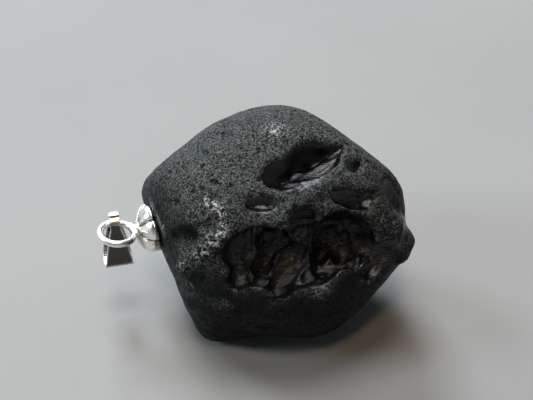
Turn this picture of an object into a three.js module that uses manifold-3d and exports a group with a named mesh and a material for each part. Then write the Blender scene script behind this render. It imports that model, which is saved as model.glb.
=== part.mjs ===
// A tektite pendant lying on its side: one lump of natural black glass with a silver petal cap
// glued to its left end, and a folded silver bail that hangs from the cap's ring.
// Units are millimetres, +Z is up, -Y is the front, and the origin is on the small flat spot that
// the stone rests on, under the stone's middle.
import * as THREE from "three";
import { mergeVertices } from "three/addons/utils/BufferGeometryUtils.js";
import Module from "manifold-3d";

const wasm = await Module();
wasm.setup();

// ---- Driving dimensions ----

const stoneLength = 31;
const stoneDepth = 25.8;
const stoneHeight = 25;
const centreHeight = 12.25; // of the stone's middle above the flat spot
const stoneWaviness = 0.15;
const lumpDetail = 10;

const ringRadius = 1.9; // to the middle of the ring's wire
const ringWire = 0.4; // the wire's own radius
const capRadius = 2.8;
const capRise = 1.5; // from the cap's rim to its neck
const capReach = 3.75; // from the cap's rim to the middle of the ring
const neckRadius = 0.52;
const capAzimuth = 204; // the way the cap faces, turned to the front
const capTilt = 8; // and a little up
const capRim = [-14.35, 0, centreHeight - 1.15];
const petals = 6;
const glueGap = 0.2; // of glue between the cap and the stone

const bandThickness = 0.35;
const eyeRadius = 0.6; // inside the bail's top, round the ring's wire
const footRadius = 1.3; // inside the bail's bottom
const bailDrop = 4.4; // from the eye's middle to the middle of the bottom bend
const bailTopWidth = 1.2;
const bailFootWidth = 3.5;
const lapDrop = 1.4; // of the band's end, down the back
const lapEnd = 102; // over the top to here, in degrees from the back
const bailTurn = 13; // the bail hangs this far round the ring from its back

// Directions on the stone are [azimuth, elevation] seen from its middle, in degrees: azimuth 0
// is +X, -90 is the front.

// Faces that the stone was flattened to, each as far from the middle as reach says.
const facets = [
  { at: [capAzimuth, -1], reach: 12.55 }, // the cap's seat
  { at: [-163, -19], reach: 13.7 }, // under the cap
  { at: [39, 37], reach: 11.85 }, // the long slope on the upper right
  { at: [-2, 8], reach: 14.3 }, // the right end
  { at: [-30, -31], reach: 13.4 }, // below the right end
  { at: [139, 38], reach: 13.1 },
  { at: [75, -30], reach: 11.8 }, // low on the back
];
const edgeRounding = 0.6; // where a face meets the round of the stone

// Broad swells. spread is the angle at which one has died away by two thirds.
const swells = [
  { at: [163, -7], spread: 17, out: 2.4 }, // the bulge behind the cap
  { at: [-141, -46], spread: 17, out: 2.9 }, // front left foot
  { at: [-50, -55], spread: 18, out: 1.2 }, // front right foot
  { at: [95, -64], spread: 17, out: 1.3 }, // back foot
  { at: [-90, -8], spread: 20, out: 0.6 }, // the sill under the front hollow
];

// Knobs and scoops share one form. at is where the middle lies, size is the length, the width
// and the height or depth, heading turns the length away from level, anticlockwise as seen
// from outside, and sunk is how far below the stone's own surface the whole thing sits.
const knobs = [
  { at: [-20, 3], size: [4.6, 3.1, 1.7], heading: 25, sunk: 0.6 }, // the nub at the right end
  { at: [-124, 24], size: [4.6, 2.6, 0.9], heading: 40 }, // the pale rough ridge
  { at: [-137, 6], size: [2.6, 2.4, 1.0] }, // the round knob under it
  { at: [-122, -10], size: [6.5, 3.4, 0.9], heading: 10 },
  { at: [-31, 13], size: [6.0, 2.4, 0.8], heading: 35 }, // the lip that runs up to the nub
];

const scoops = [
  { at: [-43, 66], size: [7.8, 4.4, 2.7], heading: -8 }, // the long gouge on top
  { at: [-94, 63], size: [4.2, 2.8, 1.6], heading: 65 }, // its left lobe
  { at: [-21, 50], size: [3.6, 1.5, 0.7], heading: -22 },
  { at: [-101, 47], size: [4.0, 1.9, 1.0], heading: -4 },
  { at: [-41, 40], size: [5.6, 2.4, 1.3], heading: -36 },
  { at: [-74, 40], size: [3.8, 2.6, 1.4], heading: 5 },
  { at: [-97, 22], size: [8.8, 6.8, 4.2], heading: 4 }, // the front hollow's left half
  { at: [-57, 25], size: [8.6, 6.8, 4.6], heading: -15 }, // and its right half
  { at: [-75, 26], size: [7.0, 5.8, 3.8], heading: 20 }, // where the two meet
  { at: [-79, 17], size: [13.0, 5.6, 3.9], heading: 10 }, // and the trough along its foot
  { at: [-109, 10], size: [2.8, 2.4, 1.6], heading: 70, sunk: 0.6 }, // scoops in its floor
  { at: [-99, 13], size: [2.4, 2.2, 1.2], heading: 60, sunk: 2.8 },
  { at: [-85, 8], size: [3.8, 2.0, 1.4], heading: 50, sunk: 2.2 },
  { at: [-62, 12], size: [2.8, 2.3, 1.2], heading: 50, sunk: 3.3 },
  { at: [-50, 13], size: [2.8, 2.3, 1.3], heading: 70, sunk: 3.0 },
  { at: [-42, 16], size: [3.4, 1.7, 1.1], heading: -60, sunk: 1.9 },
  { at: [-42, 26], size: [3.0, 1.6, 1.0], heading: -50, sunk: 2.4 },
  { at: [-40, 8], size: [6.0, 3.6, 1.5], heading: 30 },
  { at: [-14, 25], size: [5.2, 3.2, 1.7], heading: 90 }, // the hollow above the nub
  { at: [-141, 19], size: [4.6, 2.8, 1.2], heading: 30 },
  { at: [62, 24], size: [6.4, 3.0, 1.5], heading: 35 }, // the back
  { at: [80, 30], size: [3.2, 2.2, 0.9], heading: 60 },
  { at: [98, -6], size: [5.4, 3.4, 1.4], heading: -20 },
  { at: [108, -14], size: [2.8, 2.0, 0.9], heading: 15 },
  { at: [134, 36], size: [2.6, 1.6, 0.7], heading: 10 },
  { at: [24, -10], size: [4.4, 2.8, 1.1], heading: 60 },
  { at: [42, -30], size: [3.8, 2.4, 1.2], heading: -30 },
];

// ---- Making solids ----

const rad = THREE.MathUtils.degToRad;

function direction([azimuth, elevation]) {
  const level = Math.cos(rad(elevation));
  return new THREE.Vector3(
    level * Math.cos(rad(azimuth)),
    level * Math.sin(rad(azimuth)),
    Math.sin(rad(elevation)),
  );
}

function solid(geometry) {
  const bare = geometry.clone().deleteAttribute("normal").deleteAttribute("uv");
  const merged = mergeVertices(bare, 1e-5);
  return new wasm.Manifold(
    new wasm.Mesh({
      numProp: 3,
      vertProperties: merged.attributes.position.array,
      triVerts: new Uint32Array(merged.index.array),
    }),
  );
}

function geometryOf(made) {
  const mesh = made.getMesh();
  const geometry = new THREE.BufferGeometry();
  geometry.setAttribute("position", new THREE.BufferAttribute(mesh.vertProperties, 3));
  geometry.setIndex(new THREE.BufferAttribute(mesh.triVerts, 1));
  geometry.computeVertexNormals();
  return geometry;
}

// A ball of the given detail with each of its points moved to where reach puts it.
function ball(detail, reach) {
  const geometry = new THREE.IcosahedronGeometry(1, detail);
  const position = geometry.attributes.position;
  const point = new THREE.Vector3();
  for (let i = 0; i < position.count; i++) {
    reach(point.fromBufferAttribute(position, i).normalize());
    position.setXYZ(i, point.x, point.y, point.z);
  }
  return geometry;
}

// ---- The stone ----

const centre = new THREE.Vector3(0, 0, centreHeight);
const stoneRadii = new THREE.Vector3(stoneLength, stoneDepth, stoneHeight).divideScalar(2);

function waves(way, shift) {
  return (
    Math.sin(4.1 * way.x + 1.7 * way.y + shift) +
    Math.sin(4.7 * way.y - 1.3 * way.z + 2 * shift) +
    Math.sin(5.3 * way.z + 2.1 * way.x + 3 * shift)
  );
}

function lumpRadius(way) {
  const round = 1 / way.clone().divide(stoneRadii).length();
  const swollen = swells.reduce((radius, { at, spread, out }) => {
    const off = THREE.MathUtils.radToDeg(way.angleTo(direction(at))) / spread;
    return radius + out * Math.exp(-off * off);
  }, round);
  const cut = facets.reduce((sum, { at, reach }) => {
    const limit = reach / Math.max(way.dot(direction(at)), 0.1);
    return sum + Math.exp((swollen - limit) / edgeRounding);
  }, 1);
  return swollen - edgeRounding * Math.log(cut) + (stoneWaviness / 2) * waves(way, 1);
}

// The lump before its knobs and scoops, as much larger all round as extra says.
function lump(extra = 0) {
  return ball(lumpDetail, (point) => {
    const radius = lumpRadius(point) + extra;
    point.multiplyScalar(radius).add(centre);
  });
}

// An egg-shaped tool in its place on the stone: its middle is as high above the surface as lift
// says, in shares of its own height.
function tool({ at, size, heading = 0, sunk = 0 }, lift, index) {
  const way = direction(at);
  const surface = way.clone().multiplyScalar(lumpRadius(way) - sunk);
  const out = surface.clone().divide(stoneRadii).divide(stoneRadii).normalize();
  const along = new THREE.Vector3(0, 0, 1).cross(out).normalize().applyAxisAngle(out, rad(heading));
  const across = out.clone().cross(along);
  const mouth = 2 * Math.sqrt(1 - lift * lift);
  const [length, width, height] = [size[0] / mouth, size[1] / mouth, size[2] / (1 - lift)];
  const place = new THREE.Matrix4()
    .makeBasis(along, across, out)
    .scale(new THREE.Vector3(length, width, height))
    .setPosition(surface.add(centre).addScaledVector(out, lift * height));
  const detail = Math.round(1.5 + size[0] / 4);
  const egg = ball(detail, (point) => point.multiplyScalar(1 + 0.04 * waves(point, index)));
  return solid(egg.applyMatrix4(place));
}

const floorBlock = solid(new THREE.BoxGeometry(60, 60, 20).translate(0, 0, -10));
const knobbly = knobs.reduce((made, knob, i) => made.add(tool(knob, 0, i)), solid(lump()));
const scooped = scoops.reduce((made, scoop, i) => made.subtract(tool(scoop, 0.4, i)), knobbly);

const stone = new THREE.Mesh(
  geometryOf(scooped.subtract(floorBlock)),
  new THREE.MeshStandardMaterial({ color: 0x17191b, roughness: 0.45, metalness: 0 }),
);
stone.name = "stone";

// ---- The silver ----

const silver = { color: 0xd9d9dc, roughness: 0.2, metalness: 1 };

// The cap's own frame has its rim's middle at the origin and faces along +X.
function petalDome() {
  const skirt = 1.6; // buried in the stone until the stone is cut away
  const profile = [
    [0, -skirt],
    [capRadius, -skirt],
    [capRadius, 0],
    [capRadius, 0.25],
    [capRadius * 0.93, 0.55],
    [capRadius * 0.78, 0.9],
    [capRadius * 0.55, 1.2],
    [capRadius * 0.3, 1.42],
    [0, capRise],
  ].map(([radius, height]) => new THREE.Vector2(radius, height));
  const geometry = new THREE.LatheGeometry(profile, petals * 8).rotateZ(-Math.PI / 2);
  const position = geometry.attributes.position;
  for (let i = 0; i < position.count; i++) {
    const [x, y, z] = [position.getX(i), position.getY(i), position.getZ(i)];
    const bulge = Math.abs(Math.cos((petals / 2) * Math.atan2(y, z)));
    const share = 1 - 0.13 * (1 - Math.sqrt(bulge));
    position.setXYZ(i, x, y * share, z * share);
  }
  return solid(geometry);
}

const cap = new THREE.Group();
cap.position.fromArray(capRim);
cap.rotation.set(0, rad(-capTilt), rad(capAzimuth), "ZYX");
cap.updateMatrix();

const neckFoot = 0.6 * capRise; // where it starts, inside the dome
const neckLength = capReach - ringRadius - neckFoot;
const neck = new THREE.CylinderGeometry(neckRadius, neckRadius, neckLength, 16)
  .rotateZ(-Math.PI / 2)
  .translate(neckFoot + neckLength / 2, 0, 0);
const ring = new THREE.TorusGeometry(ringRadius, ringWire, 10, 40).translate(capReach, 0, 0);
const seat = solid(lump(glueGap).applyMatrix4(cap.matrix.clone().invert()));
const finding = new THREE.Mesh(
  geometryOf(petalDome().subtract(seat).add(solid(neck)).add(solid(ring))),
  new THREE.MeshStandardMaterial(silver),
);
finding.name = "cap";
cap.add(finding);

// ---- The bail ----

// Its own frame has the middle of the eye at the origin, faces -Y and hangs down -Z. Seen from
// the side it is a drop: a small bend over the ring, two straight legs and a wide bend.
const legSlope = Math.asin((footRadius - eyeRadius) / bailDrop);

function drop(extra) {
  const shape = new THREE.Shape();
  shape.absarc(0, 0, eyeRadius + extra, legSlope, Math.PI - legSlope);
  shape.absarc(0, -bailDrop, footRadius + extra, Math.PI - legSlope, 2 * Math.PI + legSlope);
  shape.closePath();
  return shape;
}

// The band's end, folded over the top from behind.
function lap() {
  const inner = eyeRadius + bandThickness - 0.02;
  const outer = eyeRadius + 2 * bandThickness;
  const down = new THREE.Vector2(Math.sin(legSlope), -Math.cos(legSlope)).multiplyScalar(lapDrop);
  const out = new THREE.Vector2(Math.cos(legSlope), Math.sin(legSlope));
  const shape = new THREE.Shape();
  shape.moveTo(out.x * outer + down.x, out.y * outer + down.y);
  shape.absarc(0, 0, outer, legSlope, rad(lapEnd));
  shape.absarc(0, 0, inner, rad(lapEnd), legSlope, true);
  shape.lineTo(out.x * inner + down.x, out.y * inner + down.y);
  shape.closePath();
  return shape;
}

// Extrudes a side view, drawn as y to the right and z up, across the bail.
function acrossBail(shape) {
  const width = 2 * bailFootWidth;
  return solid(
    new THREE.ExtrudeGeometry(shape, { depth: width, bevelEnabled: false, curveSegments: 12 })
      .translate(0, 0, -width / 2)
      .rotateY(Math.PI / 2)
      .rotateX(Math.PI / 2),
  );
}

// Seen from the front it spreads from a narrow top to a wide foot.
function frontView() {
  const top = eyeRadius + 2 * bandThickness + 0.2;
  const foot = -(bailDrop + footRadius + bandThickness + 0.2);
  const [narrow, wide] = [bailTopWidth / 2, bailFootWidth / 2];
  const bend = 0.6 * wide;
  const shape = new THREE.Shape();
  shape.moveTo(narrow, top);
  shape.lineTo(-narrow, top);
  shape.lineTo(-narrow, -0.3);
  shape.quadraticCurveTo(-bend, -1.6, -wide, foot);
  shape.lineTo(wide, foot);
  shape.quadraticCurveTo(bend, -1.6, narrow, -0.3);
  shape.closePath();
  return solid(
    new THREE.ExtrudeGeometry(shape, { depth: 8, bevelEnabled: false, curveSegments: 10 })
      .translate(0, 0, -4)
      .rotateX(Math.PI / 2),
  );
}

const band = acrossBail(drop(bandThickness)).subtract(acrossBail(drop(0)));
const bail = new THREE.Mesh(
  geometryOf(band.add(acrossBail(lap())).intersect(frontView())),
  new THREE.MeshStandardMaterial(silver),
);
bail.name = "bail";
bail.position
  .copy(direction([90 + bailTurn - capAzimuth, 0]).multiplyScalar(ringRadius))
  .add(new THREE.Vector3(capReach, 0, 0))
  .applyMatrix4(cap.matrix);
bail.rotation.z = rad(bailTurn);

const pendant = new THREE.Group();
pendant.add(stone, cap, bail);
export default pendant;
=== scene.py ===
"""The looks of a tektite pendant: its pitted black glass, its glossy gouges and its silver.

Distances are in millimetres until a mesh is written, which turns them into metres.
"""

import math
from itertools import product

import bmesh
import bpy
import numpy as np
from mathutils import Matrix, Vector
from mathutils.bvhtree import BVHTree


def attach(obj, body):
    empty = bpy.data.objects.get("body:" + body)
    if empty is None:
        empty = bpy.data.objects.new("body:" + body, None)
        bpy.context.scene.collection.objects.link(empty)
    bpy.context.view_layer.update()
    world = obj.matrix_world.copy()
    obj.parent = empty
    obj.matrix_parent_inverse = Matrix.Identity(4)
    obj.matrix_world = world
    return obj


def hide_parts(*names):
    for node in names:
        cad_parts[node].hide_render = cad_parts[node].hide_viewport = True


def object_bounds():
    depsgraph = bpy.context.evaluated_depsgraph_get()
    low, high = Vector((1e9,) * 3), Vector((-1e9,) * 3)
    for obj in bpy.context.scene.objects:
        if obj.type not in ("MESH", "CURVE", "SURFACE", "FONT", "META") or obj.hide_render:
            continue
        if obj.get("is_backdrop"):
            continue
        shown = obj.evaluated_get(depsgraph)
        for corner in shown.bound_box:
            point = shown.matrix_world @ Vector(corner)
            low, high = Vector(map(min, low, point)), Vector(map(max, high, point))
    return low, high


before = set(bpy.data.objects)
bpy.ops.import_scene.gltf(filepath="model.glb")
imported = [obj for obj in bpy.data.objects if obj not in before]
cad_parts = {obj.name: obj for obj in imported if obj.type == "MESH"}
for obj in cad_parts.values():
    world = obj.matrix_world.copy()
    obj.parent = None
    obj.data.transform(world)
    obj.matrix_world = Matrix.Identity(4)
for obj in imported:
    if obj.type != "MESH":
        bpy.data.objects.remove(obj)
cad_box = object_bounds()

MM = 0.001
STONE_MESH = 0.196  # how far apart the stone's points are
SILVER_MESH = 0.06  # and the silver's

# The stone's middle and the cap's own frame, as in the CAD model.
CENTRE = np.array([0, 0, 12.25])
CAP_RIM = np.array([-14.35, 0, 11.1])
CAP_TURN = Matrix.Rotation(math.radians(204), 3, "Z") @ Matrix.Rotation(math.radians(-8), 3, "Y")


# ---- Numbers for every point of a mesh ----


def chance(cells, seed):
    """A random number from 0 to 1 for each whole-numbered cell, the same on every run."""
    x, y, z = cells.astype(np.int64).T
    mixed = (x * 73856093) ^ (y * 19349663) ^ (z * 83492791) ^ (seed * 265443576)
    for shift, factor in ((15, 0x2C1B3C6D), (12, 0x297A2D39)):
        mixed &= 0xFFFFFFFF
        mixed = (mixed ^ (mixed >> shift)) * factor
    mixed &= 0xFFFFFFFF
    return (mixed ^ (mixed >> 15)) / 0xFFFFFFFF


TURNED = np.array(Matrix.Rotation(0.7, 3, Vector((1, 2, 3))))  # keeps the noise off the axes


def noise(points, size, seed):
    """Smooth noise from -1 to 1 whose features are about size across."""
    scaled = points @ TURNED / size
    cell = np.floor(scaled)
    part = scaled - cell
    part = part * part * (3 - 2 * part)
    total = np.zeros(len(points))
    for corner in product((0, 1), repeat=3):
        weight = np.where(corner, part, 1 - part).prod(axis=1)
        total += weight * chance(cell + corner, seed)
    return 2 * total - 1


def layered(points, size, seed):
    """Noise with finer noise on it."""
    return sum(noise(points, size / 2**i, seed + i) * 0.55**i for i in range(3)) / 1.85


def scatter(points, spacing, seed):
    """Each point's offsets to a scatter of spots about spacing apart, and the spots' cells."""
    cell = np.floor(points / spacing)
    for step in product((-1, 0, 1), repeat=3):
        spot = cell + step
        middle = spot + np.stack([chance(spot, seed + i) for i in range(3)], axis=1)
        yield points - middle * spacing, spot


def pits(points, spacing, radius, share, seed):
    """How deep each point is in a scatter of round pits: 0 outside them, 1 in a deep one."""
    depth = np.zeros(len(points))
    for off, spot in scatter(points, spacing, seed):
        size = 0.45 + 0.55 * chance(spot, seed + 3)
        inside = 1 - (np.linalg.norm(off, axis=1) / (radius * size)) ** 2
        kept = chance(spot, seed + 4) < share
        depth = np.maximum(depth, kept * size * inside)
    return depth


def cups(points, spacing, seed):
    """Hollows that meet in sharp ridges: 1 in their middles and about 0 on the ridges."""
    nearest = np.full(len(points), 4.0)
    for off, _ in scatter(points, spacing, seed):
        nearest = np.minimum(nearest, np.linalg.norm(off, axis=1) / spacing)
    return np.clip(1 - 1.4 * nearest**2, 0, 1)


def ramp(values, low, high):
    """0 below low, 1 above high, and a smooth step between them."""
    share = np.clip((values - low) / (high - low), 0, 1)
    return share * share * (3 - 2 * share)


def direction(azimuth, elevation):
    """The unit vector that points that many degrees round from +X and up from level."""
    turn, up = math.radians(azimuth), math.radians(elevation)
    level = math.cos(up)
    return np.array([level * math.cos(turn), level * math.sin(turn), math.sin(up)])


# ---- Meshes ----


def even_copy(node, name, spacing):
    """A new object with the node's solid, its points evenly apart and in millimetres."""
    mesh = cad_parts[node].data.copy()
    mesh.transform(Matrix.Scale(1 / MM, 4))
    piece = bpy.data.objects.new(name, mesh)
    bpy.context.scene.collection.objects.link(piece)
    remesh = piece.modifiers.new("even", "REMESH")
    remesh.mode = "VOXEL"
    remesh.voxel_size = spacing
    graph = bpy.context.evaluated_depsgraph_get()
    piece.data = bpy.data.meshes.new_from_object(piece.evaluated_get(graph))
    piece.data.name = name
    piece.data.materials.clear()
    piece.modifiers.clear()
    return piece


def read(items, name, width, kind=np.float32):
    """That property of every item, as an array with width numbers in each row."""
    values = np.empty(len(items) * width, kind)
    items.foreach_get(name, values)
    return values.reshape(-1, width)


def read_points(mesh):
    return read(mesh.vertices, "co", 3).astype(float)


def write_points(mesh, points):
    mesh.vertices.foreach_set("co", points.astype(np.float32).ravel())
    mesh.update()


def normals(mesh):
    return read(mesh.vertex_normals, "vector", 3).astype(float)


def write_attribute(mesh, name, values):
    attribute = mesh.attributes.new(name, "FLOAT", "POINT")
    attribute.data.foreach_set("value", values.astype(np.float32))


def evened(mesh, values, rounds):
    """The values of the mesh's points, each moved halfway to its neighbours' mean each round.

    It reaches about as far as the points are apart, times the square root of rounds.
    """
    start, end = read(mesh.edges, "vertices", 2, np.int32).T
    count = len(values)
    neighbours = np.bincount(start, minlength=count) + np.bincount(end, minlength=count)
    columns = values.reshape(count, -1).copy()
    for _ in range(rounds):
        for i, column in enumerate(columns.T):
            total = np.bincount(start, column[end], count) + np.bincount(end, column[start], count)
            columns[:, i] = (column + total / neighbours) / 2
    return columns.reshape(values.shape)


def eased(mesh, points, shares, rounds):
    """The points, each moved by its share of the way that evening them would take it."""
    return points + shares[:, None] * (evened(mesh, points, rounds) - points)


def finish_piece(piece, materials, body, node):
    """Turns the piece to metres and puts it in the node's place."""
    piece.data.transform(Matrix.Scale(MM, 4))
    for material in materials:
        piece.data.materials.append(material)
    piece.data.shade_smooth()
    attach(piece, body)
    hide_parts(node)


# ---- Materials ----


class Nodes:
    """A material's node tree, filled in step by step."""

    def __init__(self, name):
        self.material = bpy.data.materials.new(name)
        self.material.use_nodes = True
        self.tree = self.material.node_tree
        self.shader = self.tree.nodes["Principled BSDF"]
        self.place = self.tree.nodes.new("ShaderNodeTexCoord").outputs["Object"]

    def link(self, source, socket):
        """Feeds a socket from another one, or with a plain value."""
        if isinstance(source, bpy.types.NodeSocket):
            self.tree.links.new(source, socket)
        else:
            socket.default_value = source

    def noise(self, size, detail=3, roughness=0.5, place=None):
        """Noise from 0 to 1 with features about size (in millimetres) across."""
        node = self.tree.nodes.new("ShaderNodeTexNoise")
        self.link(self.place if place is None else place, node.inputs["Vector"])
        node.inputs["Scale"].default_value = 1 / (size * MM)
        node.inputs["Detail"].default_value = detail
        node.inputs["Roughness"].default_value = roughness
        return node.outputs["Fac"]

    def craters(self, spacing, steepness):
        """The height (in millimetres) of a skin with round pits of many sizes: 0 between them."""
        node = self.tree.nodes.new("ShaderNodeTexVoronoi")
        self.link(self.place, node.inputs["Vector"])
        node.inputs["Scale"].default_value = 1 / (spacing * MM)
        random = self.tree.nodes.new("ShaderNodeSeparateColor")
        self.link(node.outputs["Color"], random.inputs[0])
        radius = self.ramp(random.outputs[0], 0.0, 1.0, 0.12, 0.42)  # as a share of spacing
        share = self.math("MINIMUM", self.math("DIVIDE", node.outputs["Distance"], radius), 1.0)
        bowl = self.math("SUBTRACT", self.math("MULTIPLY", share, share), 1.0)
        return self.math("MULTIPLY", self.math("MULTIPLY", bowl, radius), spacing * steepness)

    def total(self, *heights):
        """The sum of heights, each a value or a pair of a value and what it is multiplied by."""
        sum_so_far = 0.0
        for height in heights:
            if isinstance(height, tuple):
                height = self.math("MULTIPLY", *height)
            sum_so_far = self.math("ADD", sum_so_far, height)
        return sum_so_far

    def attribute(self, name):
        """The number that the mesh has at each point under that name."""
        node = self.tree.nodes.new("ShaderNodeAttribute")
        node.attribute_name = name
        return node.outputs["Fac"]

    def math(self, operation, first, second=0.0):
        node = self.tree.nodes.new("ShaderNodeMath")
        node.operation = operation
        self.link(first, node.inputs[0])
        self.link(second, node.inputs[1])
        return node.outputs[0]

    def ramp(self, value, low, high, to_low=0.0, to_high=1.0):
        """to_low below low, to_high above high, and a smooth step between them."""
        node = self.tree.nodes.new("ShaderNodeMapRange")
        node.interpolation_type = "SMOOTHSTEP"
        for socket, number in zip(node.inputs, (value, low, high, to_low, to_high)):
            self.link(number, socket)
        return node.outputs[0]

    def mix(self, share, first, second):
        """One number or colour turned into another as share goes from 0 to 1."""
        node = self.tree.nodes.new("ShaderNodeMix")
        node.data_type = "RGBA"
        self.link(share, node.inputs["Factor"])
        first_socket, second_socket = node.inputs[6:8]  # the ones for colours
        for socket, colour in ((first_socket, first), (second_socket, second)):
            self.link((*colour, 1) if isinstance(colour, tuple) else colour, socket)
        return node.outputs[2]

    def stretched(self, scale, turn):
        """The object's own coordinates, scaled along its axes and then turned."""
        node = self.tree.nodes.new("ShaderNodeMapping")
        node.inputs["Rotation"].default_value = [math.radians(angle) for angle in turn]
        node.inputs["Scale"].default_value = scale
        self.link(self.place, node.inputs["Vector"])
        return node.outputs["Vector"]

    def bump(self, height):
        """The normal of a surface with that height (in millimetres)."""
        node = self.tree.nodes.new("ShaderNodeBump")
        node.inputs["Distance"].default_value = MM
        self.link(height, node.inputs["Height"])
        return node.outputs["Normal"]

    def set(self, **sockets):
        """Feeds the shader's sockets of those names, and gives back the material."""
        for name, source in sockets.items():
            self.link(source, self.shader.inputs[name.replace("_", " ")])
        return self.material


def skin_material():
    """The stone's matte skin: pits of every size with painted shade inside, between pale grains
    that carry painted top light.
    """
    nodes = Nodes("tektite_skin")
    broken = nodes.attribute("broken")
    wear_and_top_light = nodes.attribute("wear_and_top_light")
    pitted = nodes.total(
        nodes.craters(0.95, 0.35), nodes.craters(0.52, 0.6), nodes.craters(0.32, 0.9)
    )

    # Pale grains on dark glass, standing partly for painted glints, and paler on top as painted
    # top light; softer where that painted light is strongest, and in patches where the skin is
    # broken.
    soft = nodes.ramp(wear_and_top_light, 0.55, 1.0)
    grain = nodes.noise(0.20, 3, 0.8)
    grain = nodes.ramp(grain, nodes.total(0.49, (soft, -0.09)), nodes.total(0.56, (soft, 0.10)))
    patchy = nodes.ramp(nodes.noise(0.75, 4, 0.7), 0.44, 0.58, 0.1, 1.3)
    pale = nodes.math("MULTIPLY", grain, wear_and_top_light)
    pale = nodes.math("MULTIPLY", pale, nodes.mix(broken, (1.0, 1.0, 1.0), patchy))
    dark = nodes.mix(nodes.noise(2.5, 4), (0.003, 0.004, 0.004), (0.012, 0.014, 0.014))
    hue = nodes.mix(nodes.noise(1.1, 3), (0.175, 0.172, 0.160), (0.160, 0.188, 0.190))
    colour = nodes.mix(pale, dark, hue)

    # The pits get painted shade inside, and chips and dust lie over all.
    outside_pit_shade = nodes.ramp(pitted, -0.16, -0.02)
    colour = nodes.mix(outside_pit_shade, (0.006, 0.006, 0.006), colour)
    dusty = nodes.ramp(nodes.noise(0.40, 5, 0.75), 0.49, 0.57)
    dust = nodes.math("MULTIPLY", nodes.attribute("scuff"), dusty)
    colour = nodes.mix(dust, colour, (0.70, 0.70, 0.72))

    roughness = nodes.ramp(nodes.noise(0.30, 3, 0.6), 0.40, 0.60, 0.30, 0.60)
    rough = nodes.math("MULTIPLY", broken, nodes.noise(0.55, 4, 0.75))
    height = nodes.total(pitted, (nodes.noise(0.36, 4, 0.7), 0.36), (rough, 0.5))
    return nodes.set(
        Base_Color=colour, Roughness=roughness, Normal=nodes.bump(height), Specular_IOR_Level=0.05
    )


def gouge_material():
    """The glossy black glass inside the gouges, with amber patches that are partly a painted warm
    glow, and faint flow lines.
    """
    nodes = Nodes("tektite_glass")
    cupped = nodes.attribute("cupped")
    # Amber: partly the glass's own brown, partly a painted warm glow that is brighter in the cups.
    warm = nodes.ramp(nodes.noise(1.6, 3), 0.56, 0.70)
    amber_and_warm_glow = nodes.mix(cupped, (0.012, 0.008, 0.005), (0.024, 0.014, 0.008))
    colour = nodes.mix(warm, (0.003, 0.003, 0.004), amber_and_warm_glow)
    roughness = nodes.ramp(nodes.noise(1.2, 3), 0.35, 0.7, 0.12, 0.24)
    roughness = nodes.total(roughness, (cupped, -0.03))

    waves = nodes.noise(2.5, 4)
    lines = nodes.noise(0.5, 2, 0.5, nodes.stretched((0.4, 4.0, 4.0), (0, 35, -20)))
    line_height = nodes.total(0.04, (cupped, 0.08))
    rough = nodes.math("MULTIPLY", nodes.attribute("broken"), nodes.noise(0.55, 4, 0.75))
    height = nodes.total((lines, line_height), (waves, 0.1), (rough, 0.3))
    return nodes.set(
        Base_Color=colour, Roughness=roughness, Normal=nodes.bump(height), Specular_IOR_Level=0.5
    )


def silver_material():
    """Polished silver with faint smudges, nearly black where the cap's grooves are tarnished and
    where the bail's broad sides carry a painted dark reflection.
    """
    nodes = Nodes("silver")
    smudge = nodes.noise(0.8, 4)
    colour = nodes.mix(smudge, (0.90, 0.88, 0.84), (0.97, 0.96, 0.94))
    # Tarnish in the cap's grooves, and a painted dark reflection on the bail's broad sides.
    colour = nodes.mix(nodes.attribute("tarnish_and_dark_reflection"), colour, (0.030, 0.026, 0.020))
    roughness = nodes.ramp(smudge, 0.3, 0.7, 0.24, 0.40)
    height = nodes.total((nodes.noise(0.5, 2), 0.02), (nodes.noise(0.16, 3, 0.6), 0.012))
    return nodes.set(
        Base_Color=colour, Metallic=1.0, Roughness=roughness, Normal=nodes.bump(height)
    )


# ---- The stone ----

# Places on the stone are (azimuth, elevation) seen from its middle, in degrees. The lists for
# near() give each place, how many degrees it spreads, and its amount.

# Pale chips and dust.
SCUFFS = [
    ((-137, 40), 2.2, 0.9),
    ((-131, 40), 2.8, 1.0),
    ((-126, 39), 2.8, 1.0),
    ((-122, 34), 2.2, 0.8),
    ((-120, 30), 2.2, 0.8),
    ((-122, 26), 2.8, 1.0),
    ((-126, 21), 3.2, 1.0),
    ((-131, 16), 3.0, 0.7),
    ((-138, 9), 4.0, 0.3),
    ((-124, 22), 8, 0.12),
    ((-145, 88), 4.5, 0.7),
    ((-179, 8), 3.0, 0.9),
    ((-172, 8), 3.0, 0.8),
    ((-166, 7), 3.0, 0.7),
    ((-70, 5), 5, 0.2),
]

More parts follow.
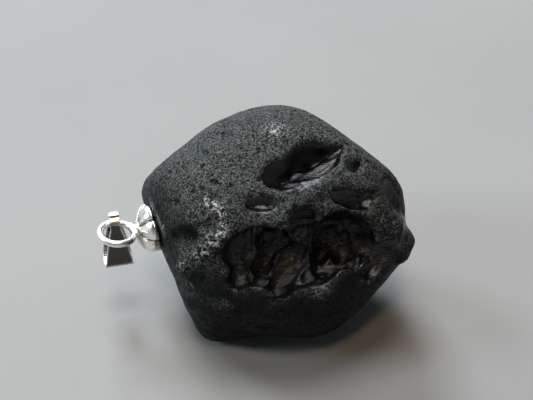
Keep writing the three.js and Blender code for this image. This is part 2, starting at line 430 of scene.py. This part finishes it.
# Dents: the place, the length, width and depth, and how far the length turns from level.
DENTS = [
    ((-54, 60.5), (8.4, 3.0, 0.7), 15),  # the near side of the long gouge
    ((-77, 60.5), (5.0, 2.8, 1.4), 22),  # and its waist
    ((-84, 56), (2.0, 1.8, 0.4), 0),
    ((-76, 41), (3.0, 1.8, 0.8), 5),
    ((-140, 49), (1.3, 0.8, 0.35), 10),
    ((-113, 76), (0.7, 0.6, 0.25), 0),
    ((-96, 79), (0.7, 0.6, 0.25), 0),
    ((-18, 71), (2.2, 1.0, 0.45), -20),
    ((-128, 52), (0.8, 0.6, 0.2), 40),
    ((-108, 58), (1.0, 0.6, 0.2), -20),
    ((-134, 43), (1.4, 0.9, 0.25), 60),
    ((-60, 47), (1.8, 1.1, 0.35), -30),
    ((-30, 36), (2.6, 1.4, 0.45), -30),
    ((-12, 40), (1.6, 1.0, 0.3), 60),
    ((-88, 38), (1.6, 1.0, 0.35), 20),
    ((-154, 30), (1.6, 1.0, 0.25), 30),
    ((-150, 14), (2.6, 1.8, 0.5), 60),
    ((-112, -14), (2.4, 1.4, 0.4), 30),
    ((-95, -22), (3.0, 1.6, 0.4), -10),
    ((-66, -14), (3.4, 1.8, 0.5), 15),
    ((-122, -30), (2.6, 1.6, 0.4), 50),
    ((150, 30), (2.8, 1.8, 0.4), 20),
    ((115, 55), (2.2, 1.2, 0.4), -40),
    ((55, -5), (3.0, 1.8, 0.5), 60),
    ((95, 20), (2.0, 1.4, 0.35), 10),
    ((15, 5), (2.4, 1.5, 0.4), 40),
]

# Ledges where a gouge's near wall meets its floor, straight and nearly level: the middle, the
# heading, half the length and width, how it rises along its length, and how it bends up across.
LEDGES = [
    ((3.8, -2.95, 21.95), 33, (4.2, 0.8), 0.17, 0.5),
    ((-1.9, -8.05, 20.65), 0, (1.6, 0.5), 0.0, 0.6),
    ((8.15, -3.0, 21.85), 55, (1.4, 0.5), 0.0, 0.6),
]

# Low places that no gouge made, so their skin is as matte as the rest.
UNGOUGED = [
    ((-141, 19), 13, 1.0),
    ((-148, 2), 20, 1.0),
    ((-124, 3), 13, 1.0),
    ((-125, 31), 12, 1.0),
    ((-119, -8), 14, 1.0),
    ((-76, -4), 9, 1.0),
    ((-95, -22), 12, 1.0),
    ((-66, -14), 12, 1.0),
    ((-140, -12), 14, 1.0),
    ((-134, -28), 24, 1.0),
    ((-112, -48), 20, 1.0),
    ((100, -25), 34, 1.0),
    ((98, -6), 12, 1.0),
    ((28, -20), 28, 1.0),
    ((15, 4), 13, 1.0),
    ((-7, 1), 9, 1.0),
    ((165, -15), 24, 1.0),
]

# Coarser, more broken skin.
BROKEN = [
    ((-124, 22), 15, 1.0),
    ((-60, 42), 26, 0.45),
    ((-20, 20), 26, 0.5),
    ((-137, 4), 14, 0.9),
    ((-100, -15), 40, 0.5),
    ((-75, -2), 10, 0.6),
    ((-76, 40), 9, 0.9),
    ((-170, 12), 18, 0.7),
]

# Gouges with soft, rounded lips.
SOFT = [
    ((-43, 66), 22, 1.0),
    ((-94, 63), 14, 1.0),
    ((-21, 50), 10, 1.0),
    ((-101, 47), 11, 1.0),
    ((-41, 40), 14, 1.0),
    ((-14, 25), 14, 1.0),
    ((62, 24), 20, 1.0),
    ((98, -6), 14, 1.0),
]

# Painted shade: low places at the front where the pale grain is taken away, so the skin stays
# dark.
PAINTED_SHADE_SPOTS = [
    ((-103, 0), 14, 0.8),
    ((-80, 0), 14, 0.9),
    ((-58, 4), 13, 0.8),
    ((-38, 2), 10, 0.6),
    ((-120, 6), 8, 0.6),
    ((-147, 14), 10, 0.5),
    ((-126, -6), 13, 0.8),
]

# Where the gouges have small cups in them, and the way the cups are drawn out.
CUPPED = [
    ((-100, 16), 20, 1.0),
    ((-76, 22), 22, 1.0),
    ((-52, 18), 20, 1.0),
]
FLOW = np.array([0.6, 0.3, 0.74])


def near(points, places):
    """How near each point is to the places: a place's amount in its middle, 0 far off."""
    ways = points - CENTRE
    ways /= np.linalg.norm(ways, axis=1, keepdims=True)
    total = np.zeros(len(points))
    for (azimuth, elevation), spread, amount in places:
        angle = np.degrees(np.arccos(np.clip(ways @ direction(azimuth, elevation), -1, 1)))
        total = np.maximum(total, amount * np.exp(-((angle / spread) ** 2)))
    return total


def dented(points):
    """The points after the dents have pushed them in."""
    ways = points - CENTRE
    total = np.zeros(len(points))
    for (azimuth, elevation), (length, width, depth), heading in DENTS:
        out = Vector(direction(azimuth, elevation))
        level = Vector((0, 0, 1)).cross(out).normalized()
        along = Matrix.Rotation(math.radians(heading), 3, out) @ level
        across = out.cross(along)
        offset = (2 / length * (ways @ along)) ** 2 + (2 / width * (ways @ across)) ** 2
        total = np.maximum(total, depth * ramp(1 - offset, 0, 1) * (ways @ out > 0))
    return points - total[:, None] * ways / np.linalg.norm(ways, axis=1, keepdims=True)


def ledged(points):
    """The points after those over each ledge have moved up or down onto it."""
    points = points.copy()
    for middle, heading, (half_length, half_width), rise, bend in LEDGES:
        offset = points - np.array(middle)
        turn = math.radians(heading)
        along = offset[:, 0] * math.cos(turn) + offset[:, 1] * math.sin(turn)
        across = offset[:, 1] * math.cos(turn) - offset[:, 0] * math.sin(turn)
        ledge = middle[2] + rise * along + bend * across**2
        reach = (along / half_length) ** 2 + (across / half_width) ** 2
        share = ramp(1 - reach, 0, 0.5) * (offset[:, 2] > -5)
        points[:, 2] += share * (ledge - points[:, 2])
    return points


def hollowness(points):
    """How far each point lies inside a skin stretched tight over the stone."""
    form = bmesh.new()
    form.from_mesh(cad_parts["stone"].data)
    hull = bmesh.ops.convex_hull(form, input=form.verts)
    inside = list(set(hull["geom_interior"] + hull["geom_unused"]))
    bmesh.ops.delete(form, geom=inside, context="VERTS")
    tree = BVHTree.FromBMesh(form)
    form.free()
    return np.array([tree.find_nearest(Vector(point) * MM)[3] / MM for point in points])


def relief(points, warp, gouge, cupped, broken):
    """How far each point moves out for the stone's small lumps and in for its pits and cups."""
    height = 0.05 * layered(points, 2.4, 50)
    height += broken * (0.4 - 0.3 * gouge) * layered(points, 1.5, 54)
    height += broken * (0.25 - 0.15 * gouge) * (0.5 - np.abs(noise(points, 0.8, 58)))
    height -= (1 - gouge) * 0.10 * pits(points, 1.25, 0.55, 0.4, 60)
    height -= (1 - 0.8 * gouge) * (0.06 + 0.05 * broken) * pits(points, 0.7, 0.36, 0.6, 70)
    stretched = points - 0.5 * (points @ FLOW)[:, None] * FLOW + 0.35 * warp
    height -= cupped * (0.9 * cups(stretched, 1.7, 81) + 0.4 * cups(stretched, 0.9, 90))
    return height


def make_stone():
    """The stone, with the relief that is too fine for the solids and its two kinds of skin."""
    piece = even_copy("stone", "tektite", STONE_MESH)
    mesh = piece.data
    points = ledged(dented(evened(mesh, read_points(mesh), 11)))

    # What each point is like. A gouge is what lies more than about 0.4 mm inside the hull.
    depth = evened(mesh, hollowness(points), 2) * (1 - near(points, UNGOUGED))
    gouge = ramp(depth + 0.1 * noise(points, 0.8, 40), 0.3, 0.55)
    gouge = ramp(evened(mesh, gouge, 5), 0.1, 0.4)
    cupped = ramp(depth, 0.4, 1.3) * near(points, CUPPED)
    broken = near(points, BROKEN)

    # The rest of the relief keeps off the cap's seat and the flat spot.
    from_cap = np.linalg.norm(points - CAP_RIM, axis=1)
    free = ramp(from_cap, 3.2, 5.0) * ramp(points[:, 2], 0.1, 1.5)

    # The lumps bend the ledges, so these are set straight again.
    warp = np.stack([layered(points, 3.4, 10 * i) for i in range(3)], axis=1)
    points += (free * (0.2 + 0.3 * broken))[:, None] * warp
    points = ledged(points)
    points = eased(mesh, points, free * broken * (1 - gouge), 23)
    points = eased(mesh, points, free * near(points, SOFT), 38)
    write_points(mesh, points)
    points += (free * relief(points, warp, gouge, cupped, broken))[:, None] * normals(mesh)
    points[:, 2] = np.maximum(points[:, 2], 0)
    write_points(mesh, points)

    # Painted top light, with some wear: the pale grain is strongest where the skin faces up and
    # fades where it faces down, and the painted shade spots take it away.
    wear_and_top_light = 0.03 + 0.97 * ramp(normals(mesh)[:, 2] + 0.25 * layered(points, 4.0, 100), -0.2, 0.95)
    write_attribute(mesh, "wear_and_top_light", wear_and_top_light * (1 - near(points, PAINTED_SHADE_SPOTS)))
    write_attribute(mesh, "scuff", near(points, SCUFFS))
    write_attribute(mesh, "broken", broken)
    write_attribute(mesh, "cupped", cupped)
    finish_piece(piece, (skin_material(), gouge_material()), "pendant", "stone")

    # A face is glossy where its first corner is in a gouge.
    corners = read(mesh.loops, "vertex_index", 1, np.int32)[:, 0]
    starts = read(mesh.polygons, "loop_start", 1, np.int32)[:, 0]
    glossy = gouge[corners[starts]] > 0.5
    mesh.polygons.foreach_set("material_index", glossy.astype(np.int32))


# ---- The silver ----

PETALS = 6
GROOVE_DEPTH, GROOVE_HALF_WIDTH = 0.16, 0.15  # between the petals
FLARE_AT, FLARE_REACH = 1.7, 0.3  # where the neck meets the ring, out from the cap's rim


def make_cap(material):
    """The cap, with grooves between its petals and a neck that flares into the ring."""
    piece = even_copy("cap", "petal_cap", SILVER_MESH)
    mesh = piece.data
    points = evened(mesh, read_points(mesh), 3)
    write_points(mesh, points)

    turn = np.array(CAP_TURN)
    x, y, z = ((points - CAP_RIM) @ turn).T  # x runs out along the cap's axis
    radius = np.hypot(y, z)
    dome = ramp(radius, 0.5, 1.0) * ramp(1.75 - x, 0.0, 0.3)  # off the neck and the ring
    from_groove = radius * np.abs(np.cos(PETALS / 2 * np.arctan2(y, z))) / (PETALS / 2)
    groove = dome * np.exp(-((from_groove / GROOVE_HALF_WIDTH) ** 2))
    points -= GROOVE_DEPTH * groove[:, None] * normals(mesh)

    flare = 0.3 * np.exp(-(((x - FLARE_AT) / FLARE_REACH) ** 2)) * (radius < 0.9)  # by 30%
    outward = np.stack([np.zeros(len(x)), y, z], axis=1)
    points += flare[:, None] * outward @ turn.T
    write_points(mesh, points)
    write_attribute(mesh, "tarnish_and_dark_reflection", 0.8 * groove)
    finish_piece(piece, [material], "pendant", "cap")


def make_bail(material):
    """The bail, with a painted dark reflection on its broad sides."""
    piece = even_copy("bail", "folded_bail", SILVER_MESH)
    mesh = piece.data
    points = evened(mesh, read_points(mesh), 4)
    write_points(mesh, points)
    # Painted dark reflection on the broad sides.
    broad = ramp(np.abs(normals(mesh)[:, 1]), 0.75, 0.95)
    write_attribute(mesh, "tarnish_and_dark_reflection", evened(mesh, 0.95 * broad, 6))
    finish_piece(piece, [material], "bail", "bail")


# ---- The studio ----


def place_camera():
    """Looks down on the front at 40 degrees, framed as in the photo."""
    down = math.radians(40)
    toward = Vector((0, -math.cos(down), math.sin(down)))
    target = Vector((-1.222, 1.428, 13.952)) * MM
    distance = 139.83 * MM
    camera = bpy.data.objects.new("camera", bpy.data.cameras.new("camera"))
    camera.data.lens = 85
    camera.data.clip_start = 0.001
    camera.location = target + distance * toward
    camera.rotation_euler = (math.pi / 2 - down, 0, 0)
    bpy.context.scene.collection.objects.link(camera)
    bpy.context.scene.camera = camera


def softbox(name, location, size, power, colour):
    """A square light that shines on the stone."""
    light = bpy.data.lights.new(name, "AREA")
    light.size = size * MM
    light.energy = power
    light.color = colour
    holder = bpy.data.objects.new(name, light)
    holder.location = Vector(location) * MM
    aim = Vector((0, 0, 12)) * MM - holder.location
    holder.rotation_euler = aim.to_track_quat("-Z", "Y").to_euler()
    bpy.context.scene.collection.objects.link(holder)


def make_backdrop():
    """A round floor that curves up into a wall all round, far from the stone."""
    nodes = Nodes("floor")
    tone = nodes.mix(nodes.noise(30, 4), (0.27, 0.27, 0.265), (0.32, 0.32, 0.315))
    material = nodes.set(Base_Color=tone, Roughness=0.8)

    flat_radius, bend_radius = 500, 700
    rings, sides = 13, 48
    corners = []
    for bend in np.linspace(0, math.pi / 2, rings):
        radius = flat_radius + bend_radius * math.sin(bend)
        height = bend_radius * (1 - math.cos(bend))
        for turn in np.linspace(0, 2 * math.pi, sides, endpoint=False):
            corner = Vector((radius * math.cos(turn), radius * math.sin(turn), height))
            corners.append(corner * MM)
    faces = [tuple(range(sides))]
    for inner in range(0, (rings - 1) * sides, sides):
        outer = inner + sides
        for i in range(sides):
            after = (i + 1) % sides
            faces.append((outer + i, outer + after, inner + after, inner + i))
    mesh = bpy.data.meshes.new("backdrop")
    mesh.from_pydata(corners, [], faces)
    mesh.shade_smooth()
    mesh.materials.append(material)
    backdrop = bpy.data.objects.new("backdrop", mesh)
    bpy.context.scene.collection.objects.link(backdrop)
    backdrop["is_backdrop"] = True


def light_studio():
    """Soft lights above, behind and on the left, a small warm lamp in front, and a dim room."""
    world = bpy.data.worlds.new("room")
    world.use_nodes = True
    background = world.node_tree.nodes["Background"]
    background.inputs["Color"].default_value = (0.75, 0.85, 1.0, 1)
    background.inputs["Strength"].default_value = 0.01
    bpy.context.scene.world = world
    softbox("overhead", (-80, 80, 924), 440, 4.8, (1.0, 0.98, 0.95))
    softbox("window", (-240, 720, 724), 360, 9.6, (0.85, 0.92, 1.0))
    softbox("side", (-680, 440, 564), 240, 4.0, (0.90, 0.95, 1.0))
    softbox("left", (-760, -160, 484), 240, 3.2, (0.75, 0.88, 1.0))
    softbox("lamp", (0, -400, 824), 104, 1.3, (1.0, 0.72, 0.42))


bpy.context.scene.view_settings.view_transform = "Standard"
place_camera()
make_backdrop()
light_studio()
make_stone()
silver = silver_material()
make_cap(silver)
make_bail(silver)

boxes = {"cad": cad_box, "visual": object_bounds()}
plain = {name: [list(corner) for corner in box] for name, box in boxes.items()}
